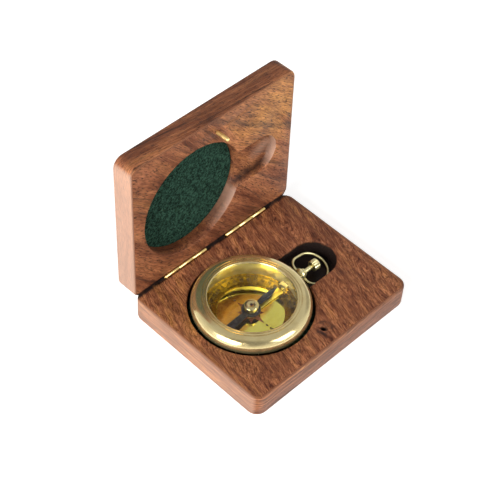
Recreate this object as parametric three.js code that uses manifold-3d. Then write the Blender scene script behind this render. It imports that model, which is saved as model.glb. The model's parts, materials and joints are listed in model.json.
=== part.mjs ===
// Open-face pocket compass in a hinged wooden box.
// Millimetres, +Z up. The origin is the middle of the underside of the base.
// +X runs along the hinge line towards the bow, and -Y is the front.

import * as THREE from 'three';
import { mergeVertices } from 'three/addons/utils/BufferGeometryUtils.js';
import Module from 'manifold-3d';

const wasm = await Module();
wasm.setup();

// Clearances
const snug = 0.15; // round a piece that is pressed or screwed into another
const seat = 0.25; // under a piece that rests on a floor of the lid
const free = 0.3; // round a piece that moves past another
const overcut = 1; // how far a cutter runs past the face it opens

// Case of the compass, from its middle outwards
const lipRadius = 18.4; // opening of the bezel
const wallRadius = 19.8; // inner wall below the glass
const wallRingThickness = 2.75;
const caseWall = 1.5;
const skirtWall = 0.95; // bezel, at its widest, outside the case wall
const wallOuterRadius = wallRadius + wallRingThickness;
const caseInnerRadius = wallOuterRadius + snug;
const caseRadius = caseInnerRadius + caseWall;
const bezelRadius = caseRadius + snug + skirtWall;

// Case of the compass, from its underside upwards
const caseFloor = 1.1;
const dialThickness = 0.5;
const scaleThickness = 0.5;
const wallHeight = 8.1;
const crystalThickness = 1;
const lipThickness = 0.8;
const caseBottomRound = 2.4;
const caseTopDrop = 0.6; // case wall stops this far below the glass
const skirtDepth = 3.6; // bezel skirt reaches this far down over the case wall
const dialTop = caseFloor + dialThickness;
const scaleTop = dialTop + scaleThickness;
const crystalBottom = scaleTop + wallHeight;
const crystalTop = crystalBottom + crystalThickness;
const bezelTop = crystalTop + lipThickness;
const caseTop = crystalBottom - caseTopDrop;

// Bezel section
const bezelRound = 4.4;
const bezelRoundDrop = 0.1; // crest of the round below the lip
const grooveWidth = 0.5;
const grooveDepth = 0.35;
const lipEase = 0.35;

// Scale ring, pivot and needle
const scaleInnerRadius = 13.8;
const postRadius = 1.1;
const postHeight = 1.1;
const pivotRadius = 0.45;
const pivotPointLength = 1.2;
const needleThickness = 0.4;
const needleLift = 1.8; // underside of the needle above the dial
const needleTipRoom = 0.6; // between the needle's tip and the lever bracket
const needleTipHalf = 0.5;
const needleRootHalf = 1.25;
const needleTailHalf = 1.1;
const hubRadius = 3.9;
const hubBore = 1.5;
const needleHeading = 4.8; // degrees from the crown, as the photograph shows it
const capRadius = 3;
const capRim = 2.5; // straight wall below the dome
const capHeight = 3;
const capRoof = 0.55;
const jewelRadius = 0.8;
const jewelThickness = 0.45;
const jewelDimple = 0.25;

// Push piece: crown, stem and the lever that it works
const stemHeight = 3.4; // stem axis above the underside of the case
const stemRadius = 1;
const shankRadius = 0.5; // thin inner end of the stem
const shankTip = 0.12;
const lockTravel = 2.5;
const crownRadius = 2.4;
const crownLength = 3.6;
const crownSpare = 1.9; // left between crown and pendant when pressed
const crownFlutes = 16;
const crownFluteDepth = 0.18;
const crownDome = 0.5;
const crownBoreDepth = 2.3;
const bracketLength = 2.4;
const bracketWidth = 3.4;
const bracketRoof = 0.35;
const leverPinInset = 0.7; // lever pin from the inner face of the bracket
const leverPinLift = 0.65; // lever pin above the dial
const leverPinRadius = 0.2;
const leverEyeRadius = 0.45;
const leverTongueWidth = 1;
const leverWidth = 3.2;
const leverThickness = 0.3;
const leverRingRadius = 2.9;
const leverRingBore = 1.75;
const leverDialGap = 0.35; // lever ring above the dial at rest
const heelReach = 1.1; // from the lever pin out to the heel that the stem presses down
const heelRadius = 0.3;
const shankLead = 2; // taper at the tip of the stem
const shankTipRoom = 0.4; // between the pressed stem and the needle's tip

// Pendant and bow
const neckRadius = 1.9;
const neckLength = 3.2;
const collarRadius = 2.8;
const collarLength = 3;
const tipRadius = 1.8; // small boss on the outer side of the collar
const tipLength = 0.8;
const bowWire = 1.15;
const bowRadius = 7.4; // middle of the wire
const bowStraight = 3.2; // straight end of the bow, from the middle of the pendant
const bowPinEnd = 1.75; // where that end stops inside the pendant
const bowTwist = 14; // degrees, the pendant's cross hole stands this far off level
const bowDroop = 9.5; // degrees below level, where the bow rests in the notch

// Box, round the compass
const feltThickness = 1;
const caseSunk = 7; // underside of the compass below the face of the base
const compassHeading = -1.3; // degrees, crown from the box's long axis as the compass lies in its pocket
const baseFloor = 3;
const lidFloor = 3.2;
const lidRoom = 1; // above the bezel when the box is shut
const pocketRoom = 1.3; // round the bezel
const notchRoom = 1.9; // beside the bow
const notchEndRoom = 2.95; // beyond the bow
const lidNotchDepth = 3.6;
const leftWall = 6.7;
const rightWall = 9.4;
const frontWall = 10.4;
const backWall = 9.2;
const cornerRadius = 5;
const edgeEase = 0.9;
const closedGap = 0.15; // air between the two halves when shut

// Hinges, let into saw kerfs
const openAngle = 91.4; // degrees from shut, where the lid rests
const stopSlack = 1; // degrees left between the stop chamfers there
const hingeInset = 1.3; // hinge line in front of the back face
const hingeLength = 23.6;
const barrelRadius = 1.05;
const hingePinRadius = 0.5;
const leafThickness = 0.8;
const knuckles = 3;
const knuckleGap = 0.2;
const kerfDepth = 8;
const kerfRunout = 4.5; // kerf past each end of the leaf
const kerfSpace = 2.7; // wood left between the two kerfs
const fittingsOffset = 1; // hinges and catch stand this far right of the middle

// Catch
const catchRadius = 0.85;
const catchLength = 6.3; // out of the lid
const catchEmbed = 5;
const catchFromFront = 8.2;
const catchHoleRoom = 0.45; // the pin swings in on an arc
const catchHoleSpare = 0.7; // hole past the end of the pin

// Worked out
const rad = THREE.MathUtils.degToRad;
const pocketRadius = bezelRadius + pocketRoom;
const pocketDepth = caseSunk + feltThickness;
const baseThickness = pocketDepth + baseFloor;
const lidPocketDepth = bezelTop - caseSunk + lidRoom + feltThickness;
const lidThickness = lidPocketDepth + lidFloor;
const collarStart = caseRadius + snug / 2 + neckLength;
const bowAxis = collarStart + collarLength / 2;
const pendantEnd = collarStart + collarLength + tipLength;
const notchHalf = bowRadius + bowWire / 2 + notchRoom;
const notchEnd = bowAxis + 2 * bowRadius + bowWire / 2 + notchEndRoom;
const boxWidth = leftWall + pocketRadius + notchEnd + rightWall;
const boxDepth = frontWall + 2 * pocketRadius + backWall;
const pocketX = leftWall + pocketRadius - boxWidth / 2;
const pocketY = frontWall + pocketRadius - boxDepth / 2;
const hingeY = boxDepth / 2 - hingeInset;
const hingeZ = baseThickness + closedGap / 2;
const kerfLength = hingeLength + 2 * kerfRunout;
const kerfRadius = (kerfLength ** 2 / 4 + kerfDepth ** 2) / (2 * kerfDepth);
const hingeSpread = kerfLength + kerfSpace;
const catchY = catchFromFront - boxDepth / 2;
const caseSeat = baseThickness - caseSunk;
const needleUnder = dialTop + needleLift;
const needleTop = needleUnder + needleThickness;
const bracketOuter = wallRadius - free;
const bracketInner = bracketOuter - bracketLength;
const leverPinX = bracketInner + leverPinInset;
const leverPinZ = dialTop + leverPinLift;
const needleReach = bracketInner - needleTipRoom;
const leverDrop = leverPinZ - leverThickness / 2 - dialTop - leverDialGap;
const leverSlope = Math.asin(leverDrop / (leverPinX + leverRingRadius));
const slotHalf = Math.max(leverTongueWidth / 2, shankRadius) + snug;
const crownStart = pendantEnd + lockTravel + crownSpare;

// Smoothness of round forms
const fineTurn = 48;
const mediumTurn = 28;
const smallTurn = 20;

const finishes = {
  wood: { color: 0x6e3b24, roughness: 0.55, metalness: 0 },
  felt: { color: 0x12392b, roughness: 1, metalness: 0 },
  brass: { color: 0xc9a95c, roughness: 0.22, metalness: 1 },
  dialBrass: { color: 0xb5a04e, roughness: 0.35, metalness: 1 },
  glass: { color: 0xf4f6f2, roughness: 0.03, metalness: 0, transparent: true, opacity: 0.15 },
  steel: { color: 0x3a3f4c, roughness: 0.3, metalness: 1 },
  stone: { color: 0x5a1a1c, roughness: 0.15, metalness: 0 },
};

// Turns a form drawn along +Z so that it runs along +X
const alongX = new THREE.Matrix4().makeBasis(
  new THREE.Vector3(0, 1, 0),
  new THREE.Vector3(0, 0, 1),
  new THREE.Vector3(1, 0, 0),
);

// Closed solid with shared corners, ready to be cut or joined
function solid(geometry) {
  const bare = geometry.clone();
  bare.deleteAttribute('normal');
  bare.deleteAttribute('uv');
  const merged = mergeVertices(bare, 1e-4);
  const corners = merged.index.array;
  const kept = [];
  for (let i = 0; i < corners.length; i += 3) {
    const [a, b, c] = corners.subarray(i, i + 3);
    if (a !== b && b !== c && c !== a) kept.push(a, b, c);
  }
  const vertProperties = merged.attributes.position.array;
  const triVerts = new Uint32Array(kept);
  return new wasm.Manifold(new wasm.Mesh({ numProp: 3, vertProperties, triVerts }));
}

function geometryOf(body) {
  const mesh = body.getMesh();
  const geometry = new THREE.BufferGeometry();
  geometry.setAttribute('position', new THREE.BufferAttribute(mesh.vertProperties, 3));
  geometry.setIndex(new THREE.BufferAttribute(mesh.triVerts, 1));
  return geometry;
}

function cut(body, ...cutters) {
  return geometryOf(cutters.reduce((rest, cutter) => rest.subtract(solid(cutter)), solid(body)));
}

function join(...bodies) {
  return geometryOf(bodies.map(solid).reduce((sum, body) => sum.add(body)));
}

function common(one, other) {
  return geometryOf(solid(one).intersect(solid(other)));
}

// Turned form about +Z from [radius, height] pairs, anticlockwise, closed on the axis or on itself
function turned(profile, segments) {
  return lathed(profile, segments).rotateX(Math.PI / 2);
}

// The same about +X
function turnedX(profile, segments) {
  return lathed(profile, segments).rotateZ(-Math.PI / 2);
}

function lathed(profile, segments) {
  const points = profile.map(([radius, height]) => new THREE.Vector2(radius, height));
  if (points[0].x > 0) points.push(points[0].clone());
  return new THREE.LatheGeometry(points, segments);
}

function disc(radius, low, high) {
  return [[0, low], [radius, low], [radius, high], [0, high]];
}

function ring(inner, outer, low, high) {
  return [[inner, low], [outer, low], [outer, high], [inner, high]];
}

// Points of an arc in a profile, angles in degrees
function arc(centreR, centreZ, radius, from, to, steps) {
  return Array.from({ length: steps + 1 }, (_, i) => {
    const angle = rad(from + ((to - from) * i) / steps);
    return [centreR + radius * Math.cos(angle), centreZ + radius * Math.sin(angle)];
  });
}

function extruded(shape, low, high, curveSegments = mediumTurn) {
  const settings = { depth: high - low, bevelEnabled: false, curveSegments };
  return new THREE.ExtrudeGeometry(shape, settings).translate(0, 0, low);
}

function outline(points) {
  return new THREE.Shape(points.map(([x, y]) => new THREE.Vector2(x, y)));
}

function box(low, high) {
  const size = high.map((value, i) => value - low[i]);
  const middle = high.map((value, i) => (value + low[i]) / 2);
  return new THREE.BoxGeometry(...size).translate(...middle);
}

function piece(name, finish, geometry) {
  geometry.computeVertexNormals();
  const mesh = new THREE.Mesh(geometry, new THREE.MeshStandardMaterial(finishes[finish]));
  mesh.name = name;
  return mesh;
}

// Half of the box: rounded corners, and eased edges above and below
function woodBlock(thickness) {
  const [x, y] = [boxWidth / 2 - cornerRadius, boxDepth / 2 - cornerRadius];
  const shape = new THREE.Shape();
  shape.absarc(x, y, cornerRadius, 0, Math.PI / 2);
  shape.absarc(-x, y, cornerRadius, Math.PI / 2, Math.PI);
  shape.absarc(-x, -y, cornerRadius, Math.PI, 1.5 * Math.PI);
  shape.absarc(x, -y, cornerRadius, 1.5 * Math.PI, 2 * Math.PI);
  const settings = {
    depth: thickness - 2 * edgeEase,
    bevelSize: edgeEase,
    bevelOffset: -edgeEase,
    bevelThickness: edgeEase,
    bevelSegments: 3,
    curveSegments: 5,
  };
  return new THREE.ExtrudeGeometry(shape, settings).translate(0, 0, edgeEase);
}

// Round pocket for the case, with its middle on the compass axis
function pocket(floor, mouth) {
  return turned(disc(pocketRadius, Math.min(floor, mouth), Math.max(floor, mouth)), fineTurn);
}

// Round-ended slot from the pocket for the pendant and bow
function notch(floor, mouth) {
  const shape = new THREE.Shape();
  const endMiddle = notchEnd - notchHalf;
  shape.moveTo(0, -notchHalf);
  shape.lineTo(endMiddle, -notchHalf);
  shape.absarc(endMiddle, 0, notchHalf, -Math.PI / 2, Math.PI / 2);
  shape.lineTo(0, notchHalf);
  return extruded(shape, Math.min(floor, mouth), Math.max(floor, mouth), smallTurn);
}

const hingePlaces = {
  left: fittingsOffset - hingeSpread / 2,
  right: fittingsOffset + hingeSpread / 2,
};
const leafY = leafThickness / 2 - barrelRadius; // leaves lie at the front of the barrel

// What the hinges need cut from one half, round the hinge line; side is -1 for the base, 1 for the lid
function hingeCuts(side) {
  const reach = hingeInset + overcut;
  const drop = reach * Math.tan(rad((openAngle + stopSlack) / 2));
  const wedge = outline([[0, 0], [reach, 0], [reach, side * drop]]);
  const half = boxWidth / 2 + overcut;
  const cuts = [extruded(wedge, -half, half).applyMatrix4(alongX)];
  const face = (side * closedGap) / 2;
  for (const place of Object.values(hingePlaces)) {
    const recessHalf = hingeLength / 2 + free;
    const recess = disc(barrelRadius + free, place - recessHalf, place + recessHalf);
    cuts.push(turnedX(recess, smallTurn));
    const kerf = new THREE.CylinderGeometry(kerfRadius, kerfRadius, leafThickness + 2 * snug, fineTurn);
    cuts.push(kerf.translate(place, leafY, face + side * (kerfDepth - kerfRadius)));
  }
  return cuts;
}

// One leaf of a hinge with its knuckles; the base has the even ones and the lid the odd ones
function hingeLeaf(side) {
  const half = hingeLength / 2;
  const kerfAtEnd = Math.sqrt(kerfRadius ** 2 - (half + snug) ** 2) - (kerfRadius - kerfDepth);
  const edge = kerfAtEnd - seat + closedGap / 2;
  const shoulder = barrelRadius + free;
  const spanZ = (from, to) => [Math.min(side * from, side * to), Math.max(side * from, side * to)];
  const slab = (x0, x1, from, to) => {
    const [low, high] = spanZ(from, to);
    return box([x0, leafY - leafThickness / 2, low], [x1, leafY + leafThickness / 2, high]);
  };
  const bodies = [slab(-half, half, shoulder, edge)];
  const pitch = (hingeLength + knuckleGap) / knuckles;
  for (let i = side < 0 ? 0 : 1; i < knuckles; i += 2) {
    const start = i * pitch - half;
    const end = start + pitch - knuckleGap;
    bodies.push(slab(start, end, 0, shoulder + leafThickness));
    bodies.push(turnedX(disc(barrelRadius, start, end), smallTurn));
  }
  const bore = disc(hingePinRadius + snug, -half - overcut, half + overcut);
  return cut(join(...bodies), turnedX(bore, smallTurn));
}

function makeBase() {
  const group = new THREE.Group();
  const floor = baseThickness - pocketDepth;
  const mouth = baseThickness + overcut;
  const catchHole = disc(catchRadius + catchHoleRoom, baseThickness - catchLength - catchHoleSpare, mouth);
  group.add(piece('base_block', 'wood', cut(
    woodBlock(baseThickness),
    pocket(floor, mouth).translate(pocketX, pocketY, 0),
    notch(floor, mouth).translate(pocketX, pocketY, 0),
    turned(catchHole, smallTurn).translate(fittingsOffset, catchY, 0),
    ...hingeCuts(-1).map((cutter) => cutter.translate(0, hingeY, hingeZ)),
  )));
  const felt = turned(disc(pocketRadius - free, floor, floor + feltThickness), fineTurn);
  group.add(piece('base_felt', 'felt', felt.translate(pocketX, pocketY, 0)));
  for (const [name, place] of Object.entries(hingePlaces)) {
    const leaf = piece(`hinge_${name}_base_leaf`, 'brass', hingeLeaf(-1));
    const pinProfile = disc(hingePinRadius, -hingeLength / 2, hingeLength / 2);
    const pin = piece(`hinge_${name}_pin`, 'brass', turnedX(pinProfile, smallTurn));
    leaf.position.set(place, hingeY, hingeZ);
    pin.position.set(place, hingeY, hingeZ);
    group.add(leaf, pin);
  }
  return group;
}

// The lid is drawn shut, with the hinge line at its origin, and then turned open
function makeLid() {
  const group = new THREE.Group();
  const face = closedGap / 2;
  const compassY = pocketY - hingeY;
  const floor = face + lidPocketDepth;
  const catchTop = face + catchEmbed;
  group.add(piece('lid_block', 'wood', cut(
    woodBlock(lidThickness).translate(0, -hingeY, face),
    pocket(floor, face - overcut).translate(pocketX, compassY, 0),
    notch(face + lidNotchDepth, face - overcut).translate(pocketX, compassY, 0),
    turned(disc(catchRadius + snug, face - overcut, catchTop + seat), smallTurn)
      .translate(fittingsOffset, catchY - hingeY, 0),
    ...hingeCuts(1),
  )));
  const feltProfile = disc(pocketRadius - free, floor - seat - feltThickness, floor - seat);
  const felt = turned(feltProfile, fineTurn).translate(pocketX, compassY, 0);
  group.add(piece('lid_felt', 'felt', felt));
  const tip = face - catchLength;
  const pinProfile = [
    [0, tip],
    ...arc(0, tip + catchRadius, catchRadius, -60, 0, 4),
    [catchRadius, catchTop],
    [0, catchTop],
  ];
  const pin = turned(pinProfile, smallTurn).translate(fittingsOffset, catchY - hingeY, 0);
  group.add(piece('catch_pin', 'brass', pin));
  for (const [name, place] of Object.entries(hingePlaces)) {
    const leaf = piece(`hinge_${name}_lid_leaf`, 'brass', hingeLeaf(1));
    leaf.position.x = place;
    group.add(leaf);
  }
  group.position.set(0, hingeY, hingeZ);
  group.rotation.x = -rad(openAngle);
  return group;
}

// Radial way through the wall ring for the thin end of the stem
function stemSlot() {
  const top = stemHeight + shankRadius + snug;
  return box([wallRadius - overcut, -slotHalf, scaleTop - overcut], [caseInnerRadius, slotHalf, top]);
}

// Gap in the scale ring for the lever and its bracket
function leverSlot() {
  const half = Math.max(bracketWidth, leverWidth) / 2 + free;
  const low = [scaleInnerRadius - overcut, -half, dialTop - overcut];
  return box(low, [bracketOuter + snug, half, scaleTop + overcut]);
}

function makeCaseBody() {
  const roundMiddle = caseRadius - caseBottomRound;
  const cup = turned([
    [0, 0],
    ...arc(roundMiddle, caseBottomRound, caseBottomRound, -90, 0, 6),
    [caseRadius, caseTop],
    [caseInnerRadius, caseTop],
    [caseInnerRadius, caseFloor],
    [0, caseFloor],
  ], fineTurn);
  const hole = turnedX(disc(shankRadius + snug, caseInnerRadius - overcut, caseRadius + overcut), smallTurn);
  return cut(cup, hole.translate(0, 0, stemHeight));
}

function makeBezel() {
  const roundR = bezelRadius - bezelRound;
  const roundZ = bezelTop - bezelRoundDrop - bezelRound;
  const skirtBottom = caseTop - skirtDepth;
  const skirtInner = caseRadius + snug;
  const skirtAngle = THREE.MathUtils.radToDeg(Math.asin((skirtBottom - roundZ) / bezelRound));
  const crest = roundZ + bezelRound;
  return turned([
    [lipRadius, crystalTop],
    [wallOuterRadius + snug, crystalTop],
    [wallOuterRadius + snug, caseTop + snug],
    [skirtInner, caseTop + snug],
    [skirtInner, skirtBottom],
    ...arc(roundR, roundZ, bezelRound, skirtAngle, 90, 9),
    [roundR - grooveWidth / 3, crest - grooveDepth],
    [roundR - (2 * grooveWidth) / 3, crest - grooveDepth],
    [roundR - grooveWidth, bezelTop],
    ...arc(lipRadius + lipEase, bezelTop - lipEase, lipEase, 90, 180, 3),
  ], fineTurn);
}

function makePendant() {
  const root = caseRadius + snug / 2;
  const end = collarStart + collarLength;
  const swell = arc(0, 0, 1, -60, 60, 8).map(([across, along]) => [
    neckRadius + (collarRadius - neckRadius) * (2 * across - 1),
    bowAxis + (along / Math.sin(rad(60))) * (collarLength / 2),
  ]);
  const turnedForm = turnedX([
    [0, root],
    [neckRadius, root],
    ...swell,
    [tipRadius, end],
    [tipRadius, pendantEnd - snug],
    [tipRadius - snug, pendantEnd],
    [0, pendantEnd],
  ], mediumTurn);
  const bore = turnedX(disc(stemRadius + snug, root - overcut, pendantEnd + overcut), smallTurn);
  const holes = [-1, 1].map((side) => {
    const [from, to] = [bowPinEnd - free, collarRadius + overcut];
    const hole = turned(disc(bowWire / 2 + free, from, to), smallTurn);
    return hole.rotateX((-side * Math.PI) / 2 + rad(bowTwist)).translate(bowAxis, 0, 0);
  });
  return cut(turnedForm, bore, ...holes).translate(0, 0, stemHeight);
}

// Arched bracket that guides the stem and carries the lever's pin
function makeBracket() {
  const ceiling = stemHeight + shankRadius + snug;
  const [inner, outer] = [bracketInner, bracketOuter];
  const halfWidth = bracketWidth / 2;
  const body = box([inner, -halfWidth, dialTop], [outer, halfWidth, ceiling + bracketRoof]);
  const slot = box([inner - overcut, -slotHalf, dialTop - overcut], [outer + overcut, slotHalf, ceiling]);
  const bore = turned(disc(leverPinRadius + snug, -bracketWidth, bracketWidth), smallTurn);
  return cut(body, slot, bore.rotateX(Math.PI / 2).translate(leverPinX, 0, leverPinZ));
}

// Lever, drawn level with its pin at the origin; its ring goes round the pivot post
function makeLever() {
  const half = leverWidth / 2;
  const start = bracketInner - free - leverPinX;
  const blade = outline([[start, -half], [start, half], [-leverPinX, half], [-leverPinX, -half]]);
  const [low, high] = [-leverThickness / 2, leverThickness / 2];
  const tongue = box([start - leverWidth / 2, -leverTongueWidth / 2, low], [heelReach, leverTongueWidth / 2, high]);
  const crosswise = (radius) => turned(disc(radius, -leverTongueWidth / 2, leverTongueWidth / 2), smallTurn)
    .rotateX(Math.PI / 2);
  const heelTop = stemHeight - shankRadius - snug - leverPinZ;
  const flat = join(
    extruded(blade, low, high),
    turned(disc(leverRingRadius, low, high), mediumTurn).translate(-leverPinX, 0, 0),
    tongue,
    crosswise(leverEyeRadius),
    crosswise(heelRadius).translate(heelReach, 0, heelTop - heelRadius),
  );
  const postHole = turned(disc(leverRingBore, -overcut, overcut), mediumTurn).translate(-leverPinX, 0, 0);
  const pinBore = turned(disc(leverPinRadius + snug / 2, -leverWidth, leverWidth), smallTurn);
  return cut(flat, postHole, pinBore.rotateX(Math.PI / 2));
}

function makeStem() {
  const tip = needleReach + shankTipRoom + lockTravel;
  const shoulder = caseRadius + free + lockTravel;
  return turnedX([
    [0, tip],
    [shankTip, tip],
    [shankRadius, tip + shankLead],
    [shankRadius, shoulder],
    [stemRadius, shoulder],
    [stemRadius, crownStart + crownBoreDepth - seat],
    [0, crownStart + crownBoreDepth - seat],
  ], smallTurn);
}

// Fluted crown with a domed end
function makeCrown() {
  const end = crownStart + crownLength;
  const perFlute = 4;
  const count = crownFlutes * perFlute;
  const rim = Array.from({ length: count }, (_, i) => {
    const angle = (2 * Math.PI * i) / count;
    const radius = crownRadius - (crownFluteDepth * (1 - Math.cos(crownFlutes * angle))) / 2;
    return [radius * Math.cos(angle), radius * Math.sin(angle)];
  });
  const fluted = extruded(outline(rim), crownStart, end).applyMatrix4(alongX);
  const rounded = turnedX([
    [0, crownStart],
    [crownRadius - crownDome / 2, crownStart],
    [crownRadius + snug, crownStart + crownDome / 2 + snug],
    [crownRadius + snug, end - crownDome],
    [crownRadius - crownDome, end - crownDome / 4],
    [0, end],
  ], mediumTurn);
  const bore = turnedX(disc(stemRadius + snug, crownStart - overcut, crownStart + crownBoreDepth), smallTurn);
  return cut(common(fluted, rounded), bore);
}

// Middle line of the bow, in its own plane: straight ends in the pendant, then a round loop
class BowLine extends THREE.Curve {
  constructor() {
    super();
    const bend = bowRadius - bowStraight;
    const quarter = Math.PI / 2;
    this.path = new THREE.Path();
    this.path.moveTo(0, bowPinEnd);
    this.path.lineTo(0, bowStraight);
    this.path.absarc(bend, bowStraight, bend, Math.PI, quarter, true);
    this.path.absarc(bowRadius, 0, bowRadius, quarter, -quarter, true);
    this.path.absarc(bend, -bowStraight, bend, -quarter, -Math.PI, true);
    this.path.lineTo(0, -bowPinEnd);
  }

  getPoint(share) {
    const point = this.path.getPoint(share);
    return new THREE.Vector3(point.x, point.y, 0);
  }
}

function makeBow() {
  const section = new THREE.Shape();
  section.absarc(0, 0, bowWire / 2, 0, 2 * Math.PI);
  const settings = { steps: 56, extrudePath: new BowLine(), curveSegments: 6 };
  return new THREE.ExtrudeGeometry(section, settings);
}

// Flat steel needle with a broad hub
function makeNeedle() {
  const rootAngle = Math.asin(needleRootHalf / hubRadius);
  const tipMiddle = needleReach - needleTipHalf;
  const shape = new THREE.Shape();
  shape.absarc(tipMiddle, 0, needleTipHalf, -Math.PI / 2, Math.PI / 2);
  shape.absarc(0, 0, hubRadius, rootAngle, Math.PI - rootAngle);
  shape.lineTo(-needleReach, needleTailHalf);
  shape.lineTo(-needleReach, -needleTailHalf);
  shape.absarc(0, 0, hubRadius, Math.PI + rootAngle, 2 * Math.PI - rootAngle);
  const bore = new THREE.Path();
  bore.absarc(0, 0, hubBore, 0, 2 * Math.PI);
  shape.holes.push(bore);
  return extruded(shape, needleUnder, needleTop, 16);
}

const capCavity = jewelRadius + snug;
const capCeiling = needleTop + capHeight - capRoof;
const jewelUnder = capCeiling - jewelThickness;

function makeCap() {
  const spigot = hubBore - snug;
  const dome = arc(0, 0, 1, 0, 90, 5).map(([across, up]) => [
    capRadius * Math.max(across, 0),
    needleTop + capRim + (capHeight - capRim) * up,
  ]);
  dome.at(-1)[0] = 0;
  return turned([
    [0, capCeiling],
    [capCavity, capCeiling],
    [capCavity, needleUnder],
    [spigot, needleUnder],
    [spigot, needleTop],
    [capRadius, needleTop],
    ...dome,
  ], mediumTurn);
}

function makeNeedleGroup() {
  const group = new THREE.Group();
  const jewel = [
    [0, jewelUnder + jewelDimple],
    [jewelDimple * 2, jewelUnder],
    [jewelRadius, jewelUnder],
    [jewelRadius, capCeiling],
    [0, capCeiling],
  ];
  group.add(piece('needle', 'steel', makeNeedle()));
  group.add(piece('needle_cap', 'brass', makeCap()));
  group.add(piece('needle_jewel', 'stone', turned(jewel, smallTurn)));
  group.rotation.z = rad(needleHeading);
  return group;
}

function makeCompass() {
  const group = new THREE.Group();
  const pointTop = jewelUnder + jewelDimple - snug;
  const bracketPin = turned(disc(leverPinRadius, -bracketWidth / 2, bracketWidth / 2), smallTurn);
  group.add(piece('case_body', 'brass', makeCaseBody()));
  group.add(piece('bezel', 'brass', makeBezel()));
  group.add(piece('crystal', 'glass', turned(disc(wallOuterRadius, crystalBottom, crystalTop), fineTurn)));
  group.add(piece('wall_ring', 'brass', cut(
    turned(ring(wallRadius, wallOuterRadius, scaleTop, crystalBottom), fineTurn),
    stemSlot(),
  )));
  group.add(piece('scale_ring', 'dialBrass', cut(
    turned(ring(scaleInnerRadius, wallOuterRadius, dialTop, scaleTop), fineTurn),
    leverSlot(),
  )));
  group.add(piece('dial', 'dialBrass', turned(disc(wallOuterRadius, caseFloor, dialTop), fineTurn)));
  group.add(piece('pivot_post', 'brass',
    turned(ring(pivotRadius + snug, postRadius, dialTop, dialTop + postHeight), smallTurn)));
  group.add(piece('pivot_pin', 'steel', turned([
    [0, dialTop],
    [pivotRadius, dialTop],
    [pivotRadius, pointTop - pivotPointLength],
    [0, pointTop],
  ], smallTurn)));
  group.add(piece('lever_bracket', 'brass', makeBracket()));
  group.add(piece('lever_pin', 'steel', bracketPin.rotateX(Math.PI / 2).translate(leverPinX, 0, leverPinZ)));
  group.add(piece('pendant', 'brass', makePendant()));

  const lock = new THREE.Group();
  lock.add(piece('lock_stem', 'brass', makeStem()));
  lock.add(piece('lock_crown', 'brass', makeCrown()));
  lock.position.z = stemHeight;

  const lever = piece('lift_lever', 'brass', makeLever());
  lever.position.set(leverPinX, 0, leverPinZ);
  lever.rotation.y = -leverSlope;

  const bow = piece('bow', 'brass', makeBow());
  bow.position.set(bowAxis, 0, stemHeight);
  bow.rotation.set(rad(bowTwist), rad(bowDroop), 0);

  group.add(makeNeedleGroup(), lock, lever, bow);
  group.position.set(pocketX, pocketY, caseSeat);
  group.rotation.z = rad(compassHeading);
  return group;
}

const boxedCompass = new THREE.Group();
boxedCompass.add(makeBase(), makeLid(), makeCompass());

export default boxedCompass;
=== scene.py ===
import json
from functools import partial, reduce
from math import asin, atan2, cos, degrees, hypot, pi, radians, sin, sqrt, tan

import bmesh
import bpy
from mathutils import Matrix, Vector, noise


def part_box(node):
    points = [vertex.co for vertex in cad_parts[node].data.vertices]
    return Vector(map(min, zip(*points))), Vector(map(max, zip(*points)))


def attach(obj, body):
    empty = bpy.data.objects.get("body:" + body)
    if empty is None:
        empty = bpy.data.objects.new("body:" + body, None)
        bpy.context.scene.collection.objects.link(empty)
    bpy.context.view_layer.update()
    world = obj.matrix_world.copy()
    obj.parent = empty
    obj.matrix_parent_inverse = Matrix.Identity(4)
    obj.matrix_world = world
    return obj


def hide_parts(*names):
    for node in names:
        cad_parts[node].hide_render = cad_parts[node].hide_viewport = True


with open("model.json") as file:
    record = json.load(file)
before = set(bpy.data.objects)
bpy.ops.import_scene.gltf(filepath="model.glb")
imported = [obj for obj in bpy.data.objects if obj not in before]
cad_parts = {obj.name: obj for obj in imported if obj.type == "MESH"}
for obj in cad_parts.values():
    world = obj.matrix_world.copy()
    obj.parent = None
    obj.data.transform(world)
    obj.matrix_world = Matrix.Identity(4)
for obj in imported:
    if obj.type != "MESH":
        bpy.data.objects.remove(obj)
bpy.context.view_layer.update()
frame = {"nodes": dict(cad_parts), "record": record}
scene = bpy.context.scene
nodes = frame["nodes"]
mm = 0.001
print("frame loaded with", len(nodes), "solids")


def middleOf(node):
    low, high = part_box(node)
    return (low + high) / 2


# where the compass stands: its axis, and the underside of its case
compassX, compassY = middleOf("bezel").xy
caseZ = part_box("case_body")[0].z
jointAxes = {joint["name"]: joint["axis"] for joint in frame["record"]["behaviour"]["joints"]}
pushAxis = jointAxes["lock_push"]
heading = atan2(-pushAxis[1], -pushAxis[0])  # the crown, from the long side of the box
atCompass = Matrix.Translation((compassX, compassY, caseZ)) @ Matrix.Rotation(heading, 4, "Z")


def setAll(thing, **settings):
    for key, value in settings.items():
        setattr(thing, key, value)


# node helpers: a node goes into the tree of the sockets that feed it

def put(socket, value):
    if isinstance(value, bpy.types.NodeSocket):
        socket.id_data.links.new(value, socket)
    else:
        socket.default_value = value


def putAll(sockets, values):
    for key, value in values.items():
        put(sockets[key], value)


def add(kind, sockets, tree=None, **settings):
    feeding = [value.id_data for value in sockets.values() if isinstance(value, bpy.types.NodeSocket)]
    node = (tree or feeding[0]).nodes.new(kind)
    setAll(node, **settings)
    putAll(node.inputs, sockets)
    return node.outputs


def calc(operation, *values):
    return add("ShaderNodeMath", dict(enumerate(values)), operation=operation)[0]


def times(*values):
    return reduce(partial(calc, "MULTIPLY"), values)


def largest(*values):
    return reduce(partial(calc, "MAXIMUM"), values)


def outside(mask):
    return calc("SUBTRACT", 1.0, mask)


def vectorCalc(operation, *values):
    return add("ShaderNodeVectorMath", dict(enumerate(values)), operation=operation)


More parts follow.
